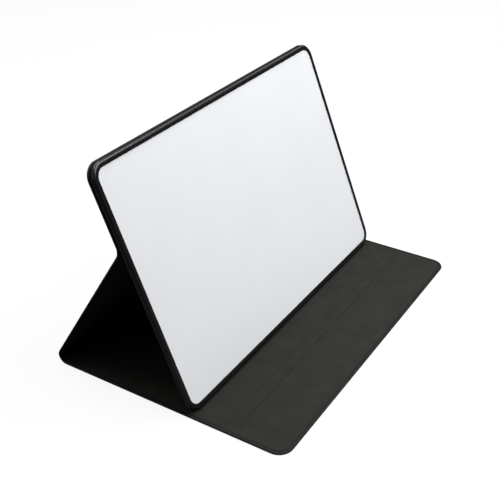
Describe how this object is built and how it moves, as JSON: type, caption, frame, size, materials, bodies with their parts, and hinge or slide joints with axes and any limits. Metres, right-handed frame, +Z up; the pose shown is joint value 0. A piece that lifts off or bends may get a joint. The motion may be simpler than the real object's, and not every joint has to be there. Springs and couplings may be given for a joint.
{
  "type": "magnetic desk whiteboard",
  "caption": "Framed magnetic whiteboard that leans on the flap of its own folding folio cover, whose base panel lies flat on the desk.",
  "frame": {"origin": "on the desk surface, under the middle of the stand's footprint at rest", "axes": "+Z up, -Y towards the user, who sees the writing face, +X along the board's width, to the user's right"},
  "size_m": [0.3, 0.2108, 0.1882],
  "materials": {
    "white_lacquer": "gloss",
    "frame_plastic": "satin",
    "fibreboard": "raw",
    "backing_plastic": "matte",
    "tape": "matte",
    "cover_skin": "fine grain",
    "greyboard": "raw",
    "lining": "microfibre",
    "magnet_rubber": "matte"
  },
  "bodies": {
    "base": {"base_skin": "cover_skin", "base_stiffener": "greyboard", "base_lining": "lining", "rest_magnet": "magnet_rubber", "front_magnet": "magnet_rubber", "spine_skin": "cover_skin", "spine_lining": "lining"},
    "flap": {"flap_skin": "cover_skin", "flap_stiffener": "greyboard", "flap_lining": "lining", "hinge_skin": "cover_skin", "hinge_lining": "lining"},
    "board": {"writing_sheet": "white_lacquer", "bezel_frame": "frame_plastic", "core_board": "fibreboard", "backing_sheet": "backing_plastic", "panel_tape": "tape", "upper_skin": "cover_skin", "upper_stiffener": "greyboard", "upper_lining": "lining"}
  },
  "joints": [
    {"name": "rear_fold", "type": "hinge", "parent": "base", "child": "flap", "pos_m": [0, 0.08523, 0.00455], "axis": [1, 0, 0], "range_deg": [-14, 15], "deforming": ["spine_skin", "spine_lining"]},
    {"name": "mid_fold", "type": "hinge", "parent": "flap", "child": "board", "pos_m": [0, 0.03079, 0.1267], "axis": [1, 0, 0], "range_deg": [-30, 28], "deforming": ["hinge_skin", "hinge_lining"]}
  ],
  "couplings": [
    {"joint": "mid_fold", "follows": "rear_fold", "ratio": -2}
  ]
}
